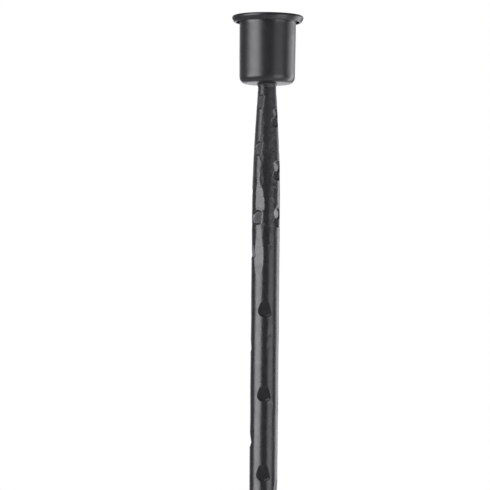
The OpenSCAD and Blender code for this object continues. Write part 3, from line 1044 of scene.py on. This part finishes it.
def build_snuffer():
    """A domed cap, open below. Its outline goes down its inside and up its outside."""
    low, high, r = span_of("snuffer")
    wall = 1.0
    outline = rounded((r - wall, low + 0.3), (r - wall + 0.3, low, 0.15), (r - 0.3, low, 0.3),
                      (r, low + 0.5, 0.3), (r - 0.05, low + 1.3, 0.3), (r - 0.35, low + 1.7, 0.3),
                      (r - 0.35, high - 2.4, 0.5), (r - 0.9, high - 0.9, 1.0), (r - 2.6, high, 1.6),
                      (0, high))
    inside = rounded((0, high - wall), (r - wall, high - wall, 1.4), (r - wall, low + 0.3))
    make_piece("snuffer_cap", [turned(inside[:-1] + outline, 96)], "cap", ["snuffer"], BRASS)


def build_snuffer_knob():
    low, high, r = span_of("snuffer_knob")
    mid = high - 0.7 * r
    outline = rounded((0, low), (1.9, low, 0.1), (1.5, low + 0.4, 0.4), (1.5, mid - r * 0.72, 0.3),
                      (r * 0.8, mid - r * 0.55, 0.6), (r, mid - 0.5, 0.6), (r, mid + 0.5, 0.6),
                      (r * 0.8, high - 0.35, 0.8), (0, high))
    make_piece("snuffer_knob_brass", [turned(outline, 64)], "cap", ["snuffer_knob"], BRASS)


build_upper_pole()
build_lower_pole()
build_cup()
build_cup_weld()
build_sleeve()
build_rivets()
build_clamp_nut()
build_clamp_screw()
build_tommy_bar()
build_bottom_plug()
build_plug_weld()
build_foot_plate()
build_spike()
build_side_tines()
build_canister()
build_canister_top()
build_gasket()
build_wick_holder()
build_wick_tube()
build_wick()
build_screw_ring()
build_snuffer()
build_snuffer_knob()


# ---- floor, lights and camera ----


def build_floor():
    """A pale floor at the spike's tip. To the camera it is as pale far away as near."""
    material, tree, shader = new_material("floor")
    tone = ramp(tree, noise(tree, 3, 4), (0.3, (0.78, 0.78, 0.78)), (0.7, (0.82, 0.82, 0.82)))
    rays = add_node(tree, "LightPath", {})
    lift = spread(tree, rays.outputs["Is Camera Ray"], 0, 0.4, 0, 1)
    set_inputs(tree, shader, {"Base Color": tone, "Roughness": 0.8, "Emission Strength": lift,
                              "Emission Color": (1, 1, 1, 1)})
    size = 60
    z = height_of("ground_spike")[0] * MM
    corners = [(-size, -size, z), (size, -size, z), (size, size, z), (-size, size, z)]
    floor = new_object("floor", corners, [(0, 1, 2, 3)])
    floor.data.materials.append(material)


COOL_WHITE = (0.99, 0.985, 1.025)


def around(degrees, distance, z):
    """A point round the torch, its angle counted from the front towards +X."""
    a = math.radians(degrees)
    return Vector((distance * math.sin(a), -distance * math.cos(a), z))


def softbox(name, degrees, distance, z, width, height, radiance, aim_z=None):
    """A rectangular light that faces the torch, or the height aim_z on it. degrees, distance and z
    place it, width and height are its size, and radiance is how bright its surface is."""
    data = bpy.data.lights.new(name, "AREA")
    data.shape = "RECTANGLE"
    data.size, data.size_y = width, height
    data.energy = radiance * math.pi * width * height
    data.color = COOL_WHITE
    lamp = bpy.data.objects.new(name, data)
    lamp.location = around(degrees, distance, z)
    aim = Vector((0, 0, z if aim_z is None else aim_z))
    lamp.rotation_euler = (aim - lamp.location).to_track_quat("-Z", "Y").to_euler()
    lamp.visible_camera = False
    bpy.context.scene.collection.objects.link(lamp)


def build_studio():
    """A white background for the camera, and a dimmer room that the torch is lit by and mirrors,
    brighter behind the torch."""
    world = bpy.data.worlds.new("studio")
    world.use_nodes = True
    tree = world.node_tree
    nodes, links = tree.nodes, tree.links
    room = nodes["Background"]
    backdrop = add_node(tree, "Background", {"Color": (1, 1, 1, 1)})
    rays = add_node(tree, "LightPath", {})
    pick = add_node(tree, "MixShader", {"Fac": rays.outputs["Is Camera Ray"]})
    links.new(room.outputs["Background"], pick.inputs[1])
    links.new(backdrop.outputs["Background"], pick.inputs[2])
    links.new(pick.outputs["Shader"], nodes["World Output"].inputs["Surface"])
    coords = add_node(tree, "TexCoord", {})
    facing = nodes.new("ShaderNodeVectorMath")
    facing.operation = "DOT_PRODUCT"
    facing.inputs[1].default_value = around(180, 1, 0)
    links.new(coords.outputs["Generated"], facing.inputs[0])
    level = spread(tree, facing.outputs["Value"], 0.245, 0.9, 0.74, 0.88)
    set_inputs(tree, room, {"Strength": level, "Color": (*COOL_WHITE, 1)})
    bpy.context.scene.world = world


def build_camera():
    """A long lens, a little under the cup and looking up at it."""
    data = bpy.data.cameras.new("camera")
    data.sensor_width = 36
    data.lens = 485
    data.clip_start, data.clip_end = 0.1, 200
    camera = bpy.data.objects.new("camera", data)
    aside = -0.0188
    camera.location = (aside, -6.0, 0.57)
    aim = Vector((aside, 0, 1.0595))
    look = (aim - camera.location).to_track_quat("-Z", "Y").to_matrix()
    roll = Matrix.Rotation(math.radians(0.57), 3, "Z")
    camera.rotation_euler = (look @ roll).to_euler()
    bpy.context.scene.collection.objects.link(camera)
    bpy.context.scene.camera = camera


build_floor()
softbox("low_back", 155, 1.6, 0.20, 1.10, 0.80, 0.8)
softbox("key", -58.5, 1.6, 1.03, 1.67, 0.64, 7.4)
softbox("upper_key", -54.5, 1.6, 1.78, 1.22, 0.86, 4.7)
softbox("top", -50, 2.2, 2.90, 1.60, 1.00, 5.0, 1.25)
softbox("fill", 49.5, 1.7, 0.50, 1.27, 1.40, 3.2)
softbox("upper_fill", 49.5, 1.7, 1.55, 1.27, 0.70, 0.9)
softbox("side", 124, 1.7, 0.66, 0.98, 1.22, 3.6)
softbox("upper_side", 116, 1.7, 1.41, 1.42, 0.28, 3.6)
softbox("under", 180, 3.0, 0.68, 1.80, 1.00, 1.5)
build_studio()
build_camera()
bpy.context.scene.view_settings.view_transform = "Standard"
